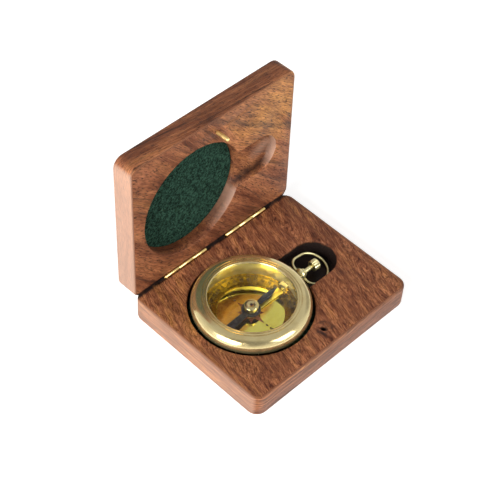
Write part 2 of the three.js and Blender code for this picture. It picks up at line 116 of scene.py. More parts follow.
def stretched(vector, factors):
    return vectorCalc("MULTIPLY", vector, factors)[0]


def along(place, direction):
    return vectorCalc("DOT_PRODUCT", place, direction)["Value"]


def splitXyz(vector):
    return add("ShaderNodeSeparateXYZ", {0: vector})


def joinXyz(x, y, z):
    return add("ShaderNodeCombineXYZ", {0: x, 1: y, 2: z})[0]


# value taken from one range to another, and held at the ends
def spread(value, low, high, toLow=0.0, toHigh=1.0):
    sockets = {"Value": value, "From Min": low, "From Max": high, "To Min": toLow, "To Max": toHigh}
    return add("ShaderNodeMapRange", sockets, clamp=True)[0]


def blendColor(share, first, second, mode="MIX"):
    return add("ShaderNodeMix", {0: share, 6: first, 7: second}, data_type="RGBA", blend_type=mode)[2]


def cloudy(vector, scale, detail=2.0, roughness=0.5, distortion=0.0):
    sockets = {"Vector": vector, "Scale": scale, "Detail": detail, "Roughness": roughness,
               "Distortion": distortion}
    return add("ShaderNodeTexNoise", sockets)["Fac"]


def colorSteps(value, steps):
    node = value.id_data.nodes.new("ShaderNodeValToRGB")
    put(node.inputs["Fac"], value)
    ramp = node.color_ramp
    while len(ramp.elements) < len(steps):
        ramp.elements.new(1.0)
    for element, (place, color) in zip(ramp.elements, steps):
        element.position = place
        element.color = (*color, 1.0)
    return node.outputs["Color"]


def newGroup(name, kind, inputs, outputs):
    tree = bpy.data.node_groups.new(name, kind)
    for label, socketKind in inputs.items():
        tree.interface.new_socket(label, in_out="INPUT", socket_type="NodeSocket" + socketKind)
    for label, socketKind in outputs.items():
        tree.interface.new_socket(label, in_out="OUTPUT", socket_type="NodeSocket" + socketKind)
    given = tree.nodes.new("NodeGroupInput")
    made = tree.nodes.new("NodeGroupOutput")
    return tree, given.outputs, made.inputs


def newMaterial(name, plainValues):
    material = bpy.data.materials.new(name)
    material.use_nodes = True
    shader = material.node_tree.nodes["Principled BSDF"].inputs
    putAll(shader, plainValues)
    return material, shader


def objectPlace(material):
    return add("ShaderNodeTexCoord", {}, material.node_tree)["Object"]


def raised(height, depth, strength=1.0):
    return add("ShaderNodeBump", {"Height": height, "Distance": depth, "Strength": strength})[0]


surfaceOutputs = dict(Color="Color", Roughness="Float", Height="Float")


def dress(shader, group, values, depth, strength=1.0):
    look = add("ShaderNodeGroup", values, node_tree=group)
    normal = raised(look["Height"], depth, strength)
    putAll(shader, {"Base Color": look["Color"], "Roughness": look["Roughness"], "Normal": normal})


# mesh helpers

easeSet = dict(
    flatCorner=150, edgeShare=0.45, steps=4,
    weld=2e-6, flatAngle=0.6, sharpAngle=40, segments=2,
)
nearAxis = 1e-6
sameSpot = 1e-7


def movedBy(x, y, z):
    return Matrix.Translation((x * mm, y * mm, z * mm))


def turnedBy(angle, axis):
    return Matrix.Rotation(radians(angle), 4, axis)


def finishMesh(mesh, sharpAngle=35):
    mesh.validate()
    mesh.shade_smooth()
    mesh.set_sharp_from_angle(angle=radians(sharpAngle))
    mesh.update()
    return mesh


def workMesh(name, work):
    mesh = bpy.data.meshes.new(name)
    work.to_mesh(mesh)
    work.free()
    return mesh


# meshes in one, with the corners that meet shared
def joined(meshes, reach):
    work = bmesh.new()
    for mesh in meshes:
        work.from_mesh(mesh)
    bmesh.ops.remove_doubles(work, verts=work.verts, dist=reach)
    return work


def newObject(name, data):
    made = bpy.data.objects.new(name, data)
    scene.collection.objects.link(made)
    return made


# the mesh that a curve or an object with modifiers comes to, taken in exchange for the object
def settled(holder, name):
    bpy.context.view_layer.update()
    evaluated = holder.evaluated_get(bpy.context.evaluated_depsgraph_get())
    mesh = bpy.data.meshes.new_from_object(evaluated)
    holder.modifiers.clear()
    bpy.data.objects.remove(holder)
    mesh.name = name
    return mesh


def newPiece(name, mesh, material, body, slotName, *stoodFor):
    mesh.materials.clear()
    mesh.materials.append(material)
    piece = newObject(name, mesh)
    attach(piece, body)
    if stoodFor:
        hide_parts(*stoodFor)
    return piece


# profile with its corners rounded; one that starts on the axis keeps its two ends
def easedProfile(corners, radius):
    count = len(corners)
    closed = corners[0][0] > nearAxis
    result = []
    for i, corner in enumerate(corners):
        middle = Vector(corner)
        before = Vector(corners[i - 1]) - middle
        after = Vector(corners[(i + 1) % count]) - middle
        onAxis = not closed and i in (0, count - 1)
        if onAxis or before.angle(after) > radians(easeSet["flatCorner"]):
            result.append(tuple(middle))
            continue
        longest = easeSet["edgeShare"] * min(before.length, after.length)
        reach = min(radius / tan(before.angle(after) / 2), longest)
        start = middle + before.normalized() * reach
        end = middle + after.normalized() * reach
        for k in range(easeSet["steps"] + 1):
            share = k / easeSet["steps"]
            result.append(tuple(start.lerp(middle, share).lerp(middle.lerp(end, share), share)))
    return result


def arcPoints(centreR, centreZ, radius, fromAngle, toAngle, steps):
    angles = [radians(fromAngle + (toAngle - fromAngle) * k / steps) for k in range(steps + 1)]
    return [(centreR + radius * cos(a), centreZ + radius * sin(a)) for a in angles]


# turned form in millimetres: (radius, height) pairs, anticlockwise, closed on the axis or on itself;
# change takes an angle, a radius and a height and gives the radius and height to use there
def turnedMesh(name, profile, place, segments=144, change=None, sharpAngle=35):
    verts, faces, rings = [], [], []
    for radius, height in profile:
        if radius < nearAxis:
            rings.append([len(verts)])
            verts.append((0.0, 0.0, height * mm))
            continue
        rings.append(list(range(len(verts), len(verts) + segments)))
        for k in range(segments):
            angle = 2 * pi * k / segments
            r, z = change(angle, radius, height) if change else (radius, height)
            verts.append((r * mm * cos(angle), r * mm * sin(angle), z * mm))
    pairs = list(zip(rings, rings[1:]))
    if profile[0][0] > nearAxis:
        pairs.append((rings[-1], rings[0]))
    for low, high in pairs:
        for k in range(segments):
            after = (k + 1) % segments
            corners = (low[k % len(low)], low[after % len(low)],
                       high[after % len(high)], high[k % len(high)])
            face = list(dict.fromkeys(corners))
            if len(face) > 2:
                faces.append(face)
    mesh = bpy.data.meshes.new(name)
    mesh.from_pydata(verts, [], faces)
    mesh.transform(place)
    return finishMesh(mesh, sharpAngle)


# copy of a solid with its corners shared and its sharp edges eased
def easedCopy(node, name, ease, keepEdge):
    work = joined([nodes[node].data], easeSet["weld"])
    flat = radians(easeSet["flatAngle"])
    bmesh.ops.dissolve_limit(work, angle_limit=flat, verts=work.verts, edges=work.edges)
    weights = []
    for edge in work.edges:
        sharp = edge.is_manifold and edge.calc_face_angle() > radians(easeSet["sharpAngle"])
        middle = (edge.verts[0].co + edge.verts[1].co) / 2
        weights.append(1.0 if sharp and (keepEdge is None or keepEdge(middle)) else 0.0)
    rough = workMesh(name + "Rough", work)
    rough.attributes.new("bevel_weight_edge", "FLOAT", "EDGE").data.foreach_set("value", weights)
    holder = newObject(name + "Rough", rough)
    setAll(holder.modifiers.new("ease", "BEVEL"), limit_method="WEIGHT", width=ease * mm,
           segments=easeSet["segments"], use_clamp_overlap=False)
    return finishMesh(settled(holder, name))


def easedPiece(node, name, ease, material, body, slotName, keepEdge=None):
    newPiece(name, easedCopy(node, name, ease, keepEdge), material, body, slotName, node)


# wood: warped streaks, dark lines, pores and fibre, drawn along the grain; noise layers in millimetres:
# stretch, detail and roughness

white = (1.0, 1.0, 1.0)
woodSet = dict(
    tones=((0.30, (0.158, 0.047, 0.021)), (0.44, (0.425, 0.155, 0.073)),
           (0.60, (0.640, 0.262, 0.114)), (0.84, (0.890, 0.415, 0.116))),
    bend=((0.010, 0.028, 0.05), 2.0, 0.5), bendReach=13.0,
    figure=((0.014, 0.17, 0.15), 5.0, 0.62), lighterToneLift=0.30,
    lines=((0.010, 0.42, 0.25), 3.0, 0.6), lineFrom=(0.56, 0.70), lineColor=(0.050, 0.026, 0.020, 1.0),
    grain=((0.075, 0.95, 0.95), 3.0, 0.6), grainSteps=((0.39, (0.26, 0.19, 0.17)), (0.56, white)),
    fibre=((0.26, 3.4, 3.4), 3.0, 0.65), fibreSteps=((0.32, (0.34, 0.28, 0.25)), (0.62, white)),
    fibreShare=0.85, fibreHeight=0.4,
    pores=((0.36, 2.3, 2.3), 1.0, 0.5), poreFrom=(0.57, 0.66), poreColor=(0.030, 0.012, 0.008, 1.0),
    poreShare=0.78, poreDepth=0.00006,
    mottle=((0.045, 0.11, 0.11), 4.0, 0.6), mottleSteps=((0.34, (0.52, 0.46, 0.45)), (0.60, white)),
    mottleShare=0.8,
    # pale colour of the painted sheen, and the multiplier of painted shade
    paintedSheenColor=(0.525, 0.345, 0.262, 1.0), shadeColor=(0.30, 0.24, 0.20, 1.0),
    # the dark of real stains and of painted shade in gaps and recesses, and how the figure varies it
    stainAndShadeColor=(0.014, 0.008, 0.007, 1.0), stainAndShadeOver=(0.3, 0.6, 1.0, 0.55),
    rough=(0.3, 0.7, 0.58, 0.40), specular=0.22,
)


def makeWoodGroup(s):
    inputs = dict(Vector="Vector", Sapwood="Float", Stain="Float", Rubbed="Float", Shade="Float",
                  Streaks="Float", Grain="Float")
    tree, given, made = newGroup("oiledWood", "ShaderNodeTree", inputs, surfaceOutputs)

    def layer(place, key):
        stretch, detail, roughness = s[key]
        return cloudy(stretched(place, stretch), 1.0, detail, roughness)

    def darkened(color, share, pattern, key):
        return blendColor(share, color, colorSteps(pattern, s[key]), "MULTIPLY")

    inMm = stretched(given["Vector"], (1 / mm,) * 3)
    bend = calc("MULTIPLY_ADD", layer(inMm, "bend"), 2 * s["bendReach"], -s["bendReach"])
    x, y, z = splitXyz(inMm)
    bent = joinXyz(x, calc("ADD", y, bend), z)
    figure = layer(bent, "figure")
    fibre = layer(bent, "fibre")
    lines = spread(layer(bent, "lines"), *s["lineFrom"])
    pores = spread(layer(bent, "pores"), *s["poreFrom"])
    stainAndShade = times(given["Stain"], spread(figure, *s["stainAndShadeOver"]))
    # the tone is lifted lighter and warmer where asked; on the base this is painted light on the end near the
    # lamp
    color = colorSteps(calc("MULTIPLY_ADD", given["Sapwood"], s["lighterToneLift"], figure), s["tones"])
    color = blendColor(times(lines, given["Streaks"]), color, s["lineColor"])
    color = darkened(color, given["Grain"], layer(bent, "grain"), "grainSteps")
    color = darkened(color, s["fibreShare"], fibre, "fibreSteps")
    color = blendColor(times(pores, s["poreShare"]), color, s["poreColor"])
    color = darkened(color, s["mottleShare"], layer(bent, "mottle"), "mottleSteps")
    # painted sheen on faces that catch the lamps, and painted shade
    color = blendColor(given["Rubbed"], color, s["paintedSheenColor"])
    color = blendColor(given["Shade"], color, s["shadeColor"], "MULTIPLY")
    # stains, and painted shade in gaps and recesses
    color = blendColor(stainAndShade, color, s["stainAndShadeColor"])
    height = calc("SUBTRACT", times(fibre, s["fibreHeight"]), pores)
    putAll(made, {"Color": color, "Roughness": spread(figure, *s["rough"]), "Height": height})
    return tree


woodGroup = makeWoodGroup(woodSet)


def nearPoint(place, point, inner, outer):
    return spread(vectorCalc("DISTANCE", place, point)["Value"], inner, outer, 1.0, 0.0)


def nearLine(place, start, end, inner, outer, share):
    toEnd = (Vector(end) - Vector(start)).normalized()
    offset = vectorCalc("SUBTRACT", place, start)[0]
    across = vectorCalc("CROSS_PRODUCT", offset, toEnd)[0]
    return spread(vectorCalc("LENGTH", across)["Value"], inner, outer, share, 0.0)


# a place pushed about by noise, so that what is drawn there wavers
def wavering(place, scale, reach):
    push = add("ShaderNodeTexNoise", {"Vector": place, "Scale": scale, "Detail": 3.0})["Color"]
    evened = vectorCalc("SUBTRACT", push, (0.5, 0.5, 0.5))[0]
    return vectorCalc("ADD", place, stretched(evened, (reach,) * 3))[0]


# skin of the outer sides: radius of the box's corners, depth of the skin and where it is full
skinSet = dict(corner=0.005, depth=0.0012, full=0.3, edgeShift=0.013)


def inSkin(away, reach, share):
    return spread(away, reach - skinSet["depth"], reach - skinSet["depth"] * skinSet["full"], 0.0, share)


# on chosen outer sides: (axis, share) for each pair
def onSides(place, block, sides):
    parts = splitXyz(place)
    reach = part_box(block)[1]
    return largest(*[inSkin(calc("ABSOLUTE", parts[axis]), reach[axis], share) for axis, share in sides])


# on all the outer sides, round the corners too
def onRim(place, s):
    parts = splitXyz(place)
    low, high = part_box(s["block"])
    squares = []
    for axis in s["rimAxes"]:
        straight = (high[axis] - low[axis]) / 2 - skinSet["corner"]
        away = calc("ABSOLUTE", calc("SUBTRACT", parts[axis], (low[axis] + high[axis]) / 2))
        past = largest(calc("SUBTRACT", away, straight), 0.0)
        squares.append(times(past, past))
    return inSkin(calc("SQRT", calc("ADD", *squares)), skinSet["corner"], 1.0)


# grain on the faces, and grain along the edges on the outer sides
def grainPlace(place, s):
    turn = [radians(angle) for angle in s["turn"]]
    sockets = {"Vector": place, "Location": s["shift"], "Rotation": turn, "Scale": s["grainScale"]}
    onFace = stretched(add("ShaderNodeMapping", sockets)[0], s["strokes"])
    edge = joinXyz(along(place, s["edgeAlong"]), along(place, s["edgeAcross"]), skinSet["edgeShift"])
    mixed = {0: onRim(place, s), 4: onFace, 5: stretched(edge, s["edgeScale"])}
    return add("ShaderNodeMix", mixed, data_type="VECTOR")[1]


def makeWood(name, s, stainsAndPaintedLight):
    material, shader = newMaterial(name, {"Specular IOR Level": woodSet["specular"]})
    place = objectPlace(material)
    values = {"Vector": grainPlace(place, s), "Streaks": s["streaks"], "Grain": s["grain"]}
    dress(shader, woodGroup, values | stainsAndPaintedLight(place, s), woodSet["poreDepth"])
    return material


pinMiddle = middleOf("hinge_left_pin")
hingeAt = (0.0, *pinMiddle.yz)
hingeEnd = (1.0, *pinMiddle.yz)
# painted shade along the gap at the hinges: inner and outer reach, and share
hingeGapShade = (0.0006, 0.0017, 1.5)

baseWoodSet = dict(
    # sides: painted sheen on the end faces and, less, on the front and back
    block="base_block", rimAxes=(0, 1), sides=((0, 0.38), (1, 0.12)), streaks=0.18, grain=0.92,
    turn=(0, 0, -33), shift=(0.031, 0.212, 0.05), grainScale=(4.2, 1.0, 1.0), strokes=(2.0, 1.0, 1.0),
    edgeAlong=(1.0, -1.0, 0.0), edgeAcross=(0.0, 0.0, 1.0), edgeScale=(1.0, 2.2, 1.0),
    ringAt=(0.0014, -0.0284, 0.0110), ringRadius=0.0030, ringWide=(0.0002, 0.0011, 0.85, 0.0),
    ringWaver=(420.0, 0.0024), breakScale=260.0, breaks=(0.42, 0.58, 0.25, 1.0), holeReach=(0.0012, 0.0019),
    # recess: painted shade down in the recess, from which height to which, and its share
    recess=(0.0108, 0.0092, 0.0, 1.8), aboveFoot=(0.0004, 0.0012),
    # painted shade towards the far corner, and painted light towards the near end
    dimAlong=(1.0, 0.8, 0.0), dim=(0.036, 0.065, 0.0, 0.38),
    warmAlong=(1.0, -0.4, 0.0), warm=(-0.046, -0.018, 0.36, 0.0),
)
lidWoodSet = dict(
    # sides: painted sheen on the end faces; top with topShade: painted shade on the top edge
    block="lid_block", rimAxes=(0, 2), sides=((0, 0.64),), top=((2, 1.0),), topShade=0.34,
    streaks=0.72, grain=0.40,
    turn=(-90, 0, 36), shift=(0.107, -0.063, 0.02), grainScale=(1.3, 1.0, 1.0), strokes=(1.0, 1.0, 1.0),
    edgeAlong=(1.0, 0.0, 1.0), edgeAcross=(0.10, 1.0, 0.0), edgeScale=(1.0, 1.6, 1.0),
    paleAt=(0.037, 0.037, 0.068), paleReach=(0.006, 0.040),
    bandFrom=(0.0092, 0.0372, 0.0745), bandTo=(0.0460, 0.0366, 0.0500), bandWide=(0.0006, 0.0026, 0.70),
    bandWaver=(90.0, 0.0050),
    # dark streak along the notch's lower wall: part grain, part painted shade
    knotFrom=(0.0150, 0.0402, 0.0356), knotTo=(0.0330, 0.0402, 0.0366), knotWide=(0.0010, 0.0044, 1.25),
    knotWaver=(300.0, 0.0040), knotReach=(0.0070, 0.0125),
    # painted shade in the hollows, stronger low down
    hollow=(0.0360, 0.0390), hollowEnd=(0.0440, 0.0446, 1.0, 0.0), hollowShade=(0.026, 0.038, 0.80, 0.34),
    # painted light on walls that face the left: from which facing, and its share
    wallFacing=(-0.85, -0.35, 0.66, 0.0), belowNotch=(0.0335, 0.0365, 1.0, 0.0), notchEnd=(0.022, 0.030),
)


# dark ring stain round the catch hole, darker at its core; painted shade in the recess and in the gap at the
# hinges; painted shade towards the far corner and painted light towards the near end; painted sheen on the end
# faces, front and back
def baseWear(place, s):
    wavy = wavering(place, *s["ringWaver"])
    fromMiddle = vectorCalc("DISTANCE", wavy, s["ringAt"])["Value"]
    fromRing = calc("ABSOLUTE", calc("SUBTRACT", fromMiddle, s["ringRadius"]))
    ring = times(spread(fromRing, *s["ringWide"]), spread(cloudy(place, s["breakScale"]), *s["breaks"]))
    hole = nearPoint(wavy, s["ringAt"], *s["holeReach"])
    # painted shade along the gap at the hinges
    gapShade = nearLine(place, hingeAt, hingeEnd, *hingeGapShade)
    height = splitXyz(place)[2]
    # painted shade in the recess below the top face, clear of the outer rim
    recess = times(spread(height, *s["recess"]), spread(height, *s["aboveFoot"]), outside(onRim(place, s)))
    return {
        "Stain": largest(ring, hole, gapShade, recess),
        "Rubbed": onSides(place, s["block"], s["sides"]),
        # painted shade towards the far corner, painted light towards the near end
        "Shade": spread(along(place, s["dimAlong"]), *s["dim"]),
        "Sapwood": spread(along(place, s["warmAlong"]), *s["warm"]),
    }


# a dark grain streak, and a dark streak in the notch that is part grain and part painted shade; painted shade
# in the gap at the hinges, in the hollows and on the top edge; painted sheen on the end faces and painted
# light on walls that face the left; a pale corner
def lidWear(place, s):
    sideways, depth, height = splitXyz(place)
    band = nearLine(wavering(place, *s["bandWaver"]), s["bandFrom"], s["bandTo"], *s["bandWide"])
    # dark streak in the notch: part grain, part painted shade
    streak = nearLine(wavering(place, *s["knotWaver"]), s["knotFrom"], s["knotTo"], *s["knotWide"])
    notchStreakMiddle = (Vector(s["knotFrom"]) + Vector(s["knotTo"])) / 2
    notchStreak = times(streak, nearPoint(place, notchStreakMiddle, *s["knotReach"]))
    # painted shade along the gap at the hinges
    gapShade = nearLine(place, hingeAt, hingeEnd, *hingeGapShade)
    within = times(spread(depth, *s["hollowEnd"]), outside(onRim(place, s)))
    hollow = times(spread(depth, *s["hollow"]), within)
    onTop = onSides(place, s["block"], s["top"])
    facing = splitXyz(add("ShaderNodeTexCoord", {}, place.id_data)["Normal"])[0]
    paintedLightPart = largest(spread(height, *s["belowNotch"]), spread(sideways, *s["notchEnd"]))
    # painted light on walls that face the left, below the notch and at its far end
    paintedLitWall = times(spread(facing, *s["wallFacing"]), within, paintedLightPart)
    paleCorner = nearPoint(place, s["paleAt"], *s["paleReach"])
    return {
        "Stain": largest(band, notchStreak, gapShade),
        # painted shade in the hollows and on the top edge
        "Shade": largest(times(hollow, spread(height, *s["hollowShade"])), times(onTop, s["topShade"])),
        "Rubbed": largest(paintedLitWall, onSides(place, s["block"], s["sides"])),
        "Sapwood": times(paleCorner, outside(largest(hollow, onTop))),
    }


baseWood = makeWood("baseWood", baseWoodSet, baseWear)
lidWood = makeWood("lidWood", lidWoodSet, lidWear)
print("wood finishes made")

# brass: tarnish clouds and fine rubbing marks

brassSet = dict(
    bright=(0.74, 0.62, 0.32, 1.0), aged=(0.60, 0.44, 0.18, 1.0),
    dialBright=(0.95, 0.84, 0.18, 1.0), dialAged=(0.78, 0.60, 0.07, 1.0),
    wallBright=(0.95, 0.86, 0.47, 1.0), wallAged=(0.88, 0.76, 0.36, 1.0),
    scaleBright=(0.28, 0.17, 0.013, 1.0), scaleAged=(0.15, 0.083, 0.006, 1.0),
    hingeBright=(0.90, 0.67, 0.27, 1.0), hingeAged=(0.66, 0.44, 0.15, 1.0),
    clouds=(140.0, 4.0, 0.6, 0.4), cloudFrom=(0.42, 0.68),
    smears=(420.0, 3.0), smearRange=(0.35, 0.7, 0.75, 1.45),
    rubStretch=(900.0, 2600.0, 1500.0), rubDepth=0.000004,
)


def makeBrassGroup(s):
    inputs = dict(Vector="Vector", Bright="Color", Aged="Color", Tarnish="Float", Rough="Float")
    tree, given, made = newGroup("handledBrass", "ShaderNodeTree", inputs, surfaceOutputs)
    place = given["Vector"]
    clouds = spread(cloudy(place, *s["clouds"]), *s["cloudFrom"])
    smears = spread(cloudy(place, *s["smears"]), *s["smearRange"])
    putAll(made, {
        "Color": blendColor(times(clouds, given["Tarnish"]), given["Bright"], given["Aged"]),
        "Roughness": times(given["Rough"], smears),
        "Height": cloudy(stretched(place, s["rubStretch"]), 1.0),
    })
    return tree


brassGroup = makeBrassGroup(brassSet)


def makeBrass(name, bright, aged, tarnish, rough, rubbed=1.0, metallic=1.0):
    material, shader = newMaterial(name, {"Metallic": metallic})
    values = {"Vector": objectPlace(material), "Bright": brassSet[bright], "Aged": brassSet[aged],
              "Tarnish": tarnish, "Rough": rough}
    dress(shader, brassGroup, values, brassSet["rubDepth"], rubbed)
    return material


polishedBrass = makeBrass("polishedBrass", "bright", "aged", tarnish=0.35, rough=0.20)
bezelBrass = makeBrass("bezelBrass", "bright", "aged", tarnish=0.45, rough=0.17, rubbed=0.25, metallic=0.86)
catchBrass = makeBrass("catchBrass", "hingeBright", "hingeAged", tarnish=0.30, rough=0.42, rubbed=0.6,
                       metallic=0.82)
wallBrass = makeBrass("wallBrass", "wallBright", "wallAged", tarnish=0.15, rough=0.38, rubbed=0.1)
wireBrass = makeBrass("wireBrass", "wallBright", "bright", tarnish=0.55, rough=0.34)
leverBrass = makeBrass("leverBrass", "dialAged", "aged", tarnish=0.6, rough=0.34, rubbed=0.4)
satinBrass = makeBrass("satinBrass", "dialBright", "dialAged", tarnish=0.5, rough=0.07, rubbed=0.5)
scaleBrass = makeBrass("scaleBrass", "scaleBright", "scaleAged", tarnish=0.5, rough=0.24)
hingeBrass = makeBrass("hingeBrass", "hingeBright", "hingeAged", tarnish=0.45, rough=0.20)

# steel, ink, stone and felt: two colours in patches, with a roughness or a bump that follows noise

steelSet = dict(
    plain={"Metallic": 0.85}, patches=(700.0, 4.0, 0.6), patchFrom=(0.35, 0.72),
    rough=(0.3, 0.7, 0.30, 0.48), bump=(3000.0,), bumpDepth=0.000004,
    blued=((0.020, 0.022, 0.028), (0.070, 0.074, 0.080)),
)
inkSet = dict(
    plain={"Specular IOR Level": 0.12}, patches=(1500.0, 3.0), patchFrom=(0.35, 0.75),
    rough=(0.3, 0.7, 0.42, 0.62),
    mark=((0.020, 0.013, 0.006), (0.085, 0.052, 0.018)),
    rose=((0.095, 0.030, 0.012), (0.210, 0.080, 0.028)),
    agate=((0.020, 0.010, 0.010), (0.060, 0.022, 0.022)),
)
feltSet = dict(
    plain={"Roughness": 1.0, "Specular IOR Level": 0.1},
    patches=(900.0, 5.0, 0.7, 0.5), patchFrom=(0.42, 0.60), bump=(900.0, 5.0, 0.7, 0.5), bumpDepth=0.0002,
    cloth=((0.002, 0.009, 0.006), (0.034, 0.088, 0.060)),
    hair=((0.034, 0.088, 0.060), (0.080, 0.175, 0.125)),
    radius=26.3, thick=1.0, rings=46, segments=180, sharpAngle=60,
    nap=0.04, coarseNap=900, fineNap=2300, fineShare=0.6, fineShift=0.01,
    fibresPerSquareMm=2.2, fibreLength=0.0011, fibreThick=0.000030, fibreSweep=70, lean=0.09,
    fibreSizes=(0.4, 1.2), fibreMargin=0.6, seed=7,
    strandSteps=4, strandSides=3, turnMost=6.283, faceThick=0.0001, faceSegments=64,
)


def makePatchy(name, s, colors):
    material, shader = newMaterial(name, s["plain"])
    place = objectPlace(material)
    patches = cloudy(place, *s["patches"])
    put(shader["Base Color"], colorSteps(patches, list(zip(s["patchFrom"], s[colors]))))
    if "rough" in s:
        put(shader["Roughness"], spread(patches, *s["rough"]))
    if "bump" in s:
        put(shader["Normal"], raised(cloudy(place, *s["bump"]), s["bumpDepth"]))
    return material


bluedSteel = makePatchy("bluedSteel", steelSet, "blued")
markInk = makePatchy("markInk", inkSet, "mark")
roseInk = makePatchy("roseInk", inkSet, "rose")
darkAgate = makePatchy("darkAgate", inkSet, "agate")
greenFelt = makePatchy("greenFelt", feltSet, "cloth")
feltHair = makePatchy("feltHair", feltSet, "hair")

glassSet = dict(
    plain={"Base Color": (0.97, 0.985, 0.97, 1.0), "Transmission Weight": 1.0, "IOR": 1.35},
    smudges=(120.0, 4.0, 0.6), rough=(0.45, 0.8, 0.0, 0.035),
)


# glass that lets light through to what lies under it
def makeGlass(name, s):
    material, shader = newMaterial(name, s["plain"])
    put(shader["Roughness"], spread(cloudy(objectPlace(material), *s["smudges"]), *s["rough"]))
    tree = material.node_tree
    glassy = tree.nodes["Principled BSDF"].outputs[0]
    clear = add("ShaderNodeBsdfTransparent", {}, tree)[0]
    shadowRay = add("ShaderNodeLightPath", {}, tree)["Is Shadow Ray"]
    mixed = add("ShaderNodeMixShader", {0: shadowRay, 1: glassy, 2: clear})[0]
    put(tree.nodes["Material Output"].inputs["Surface"], mixed)
    return material


watchGlass = makeGlass("watchGlass", glassSet)
print("metal, glass and felt finishes made")

# box halves: eased copies of the solids, away from the hinge kerfs

boxSet = dict(
    rimEase=0.35, leafEase=0.12, pinEase=0.1, catchEase=0.15,
    hingeClear=5.0, faceReach=0.02, openAngle=91.4,
)
hingeLine = Vector(hingeAt)
lidSwing = turnedBy(-boxSet["openAngle"], "X")
shutGap = hingeLine.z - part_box("base_block")[1].z  # hinge line above the base, and below the shut lid's face


# true on the rims in the meeting faces of the two halves, clear of the hinge kerfs
def onMeetingFace(side, turn):
    def onFace(point):
        offset = turn @ (point - hingeLine)
        away = hypot(offset.y, offset.z) > boxSet["hingeClear"] * mm
        return away and abs(offset.z - side * shutGap) < boxSet["faceReach"] * mm
    return onFace


onBaseFace = onMeetingFace(-1, Matrix.Identity(4))
onLidFace = onMeetingFace(1, lidSwing.inverted())
easedPiece("base_block", "base_wood", boxSet["rimEase"], baseWood, "base", "wood", onBaseFace)
easedPiece("lid_block", "lid_wood", boxSet["rimEase"], lidWood, "lid", "wood", onLidFace)
for side in ("left", "right"):
    for half in ("base", "lid"):
        leaf = f"hinge_{side}_{half}_leaf"
        easedPiece(leaf, leaf + "_brass", boxSet["leafEase"], hingeBrass, half, "brass")
    pin = f"hinge_{side}_pin"
    easedPiece(pin, pin + "_brass", boxSet["pinEase"], hingeBrass, "base", "brass")
easedPiece("catch_pin", "catch_pin_brass", boxSet["catchEase"], catchBrass, "lid", "brass")
print("box, hinges and catch made")


# felt: a napped disc, and loose fibres lying on it

def endTree(made, geometry, material):
    real = add("GeometryNodeRealizeInstances", {"Geometry": geometry})[0]
    put(made["Geometry"], add("GeometryNodeSetMaterial", {"Geometry": real, "Material": material})[0])


def makeFibreTree(s):
    inputs = dict(Geometry="Geometry", Density="Float", Length="Float", Thickness="Float", Seed="Int",
                  Material="Material")
    tree, given, made = newGroup("looseFibres", "GeometryNodeTree", inputs, dict(Geometry="Geometry"))
    seed = given["Seed"]
    points = add("GeometryNodeDistributePointsOnFaces",
                 {"Mesh": given["Geometry"], "Density": given["Density"], "Seed": seed})
    arc = {"Resolution": s["strandSteps"], "Radius": given["Length"], "Sweep Angle": radians(s["fibreSweep"])}
    strand = add("GeometryNodeCurveArc", arc)[0]
    ring = {"Resolution": s["strandSides"], "Radius": given["Thickness"]}
    section = add("GeometryNodeCurvePrimitiveCircle", ring)[0]
    fibre = add("GeometryNodeCurveToMesh", {"Curve": strand, "Profile Curve": section})[0]
    most = s["lean"]
    leanRange = {"Min": (-most, -most, 0.0), "Max": (most, most, s["turnMost"]), "Seed": seed}
    lean = add("FunctionNodeRandomValue", leanRange, data_type="FLOAT_VECTOR")[0]
    turn = add("FunctionNodeEulerToRotation", {0: lean})[0]
    laid = add("FunctionNodeRotateRotation", {0: points["Rotation"], 1: turn}, rotation_space="LOCAL")[0]
    sizeRange = {2: s["fibreSizes"][0], 3: s["fibreSizes"][1], "Seed": seed}
    size = add("FunctionNodeRandomValue", sizeRange, data_type="FLOAT")[1]
    placed = add("GeometryNodeInstanceOnPoints",
                 {"Points": points["Points"], "Instance": fibre, "Rotation": laid, "Scale": size})[0]
    endTree(made, placed, given["Material"])
    return tree


def runTree(name, tree, startMesh, values):
    holder = newObject(name + "Start", startMesh)
    modifier = holder.modifiers.new("make", "NODES")
    modifier.node_group = tree
    for item in tree.interface.items_tree:
        if item.in_out == "INPUT" and item.name in values:
            modifier[item.identifier] = values[item.name]
    return settled(holder, name)


fibreTree = makeFibreTree(feltSet)


# nap on the upper face of the felt, at height nought
def napped(angle, radius, height):
    s = feltSet
    if height < 0:
        return radius, height
    x, y = radius * mm * cos(angle), radius * mm * sin(angle)
    coarse = noise.noise(Vector((x, y, 0.0)) * s["coarseNap"])
    fine = noise.noise(Vector((x, y, s["fineShift"])) * s["fineNap"])
    return radius, (coarse + s["fineShare"] * fine) * s["nap"]


def layFelt(half, place, s):
    cloth, fibres = half + "_felt_cloth", half + "_felt_fibres"
    profile = [(0.0, -s["thick"]), (s["radius"], -s["thick"])]
    profile += [(s["radius"] * ring / s["rings"], 0.0) for ring in range(s["rings"], -1, -1)]
    clothMesh = turnedMesh(cloth, profile, place, s["segments"], napped, s["sharpAngle"])
    disc = newPiece(cloth, clothMesh, greenFelt, half, "felt", half + "_felt")
    # fibres stand on both sides of a thin closed disc, so each side has half of them
    thinDisc = [(0.0, 0.0), (s["radius"] - s["fibreMargin"], 0.0), (0.0, s["faceThick"])]
    values = {"Density": s["fibresPerSquareMm"] / mm ** 2 / 2, "Length": s["fibreLength"],
              "Thickness": s["fibreThick"], "Seed": s["seed"], "Material": feltHair}
    face = turnedMesh(half + "FeltFace", thinDisc, place, s["faceSegments"])
    fibreMesh = runTree(fibres, fibreTree, face, values)
    hair = newPiece(fibres, fibreMesh, feltHair, half, "felt")


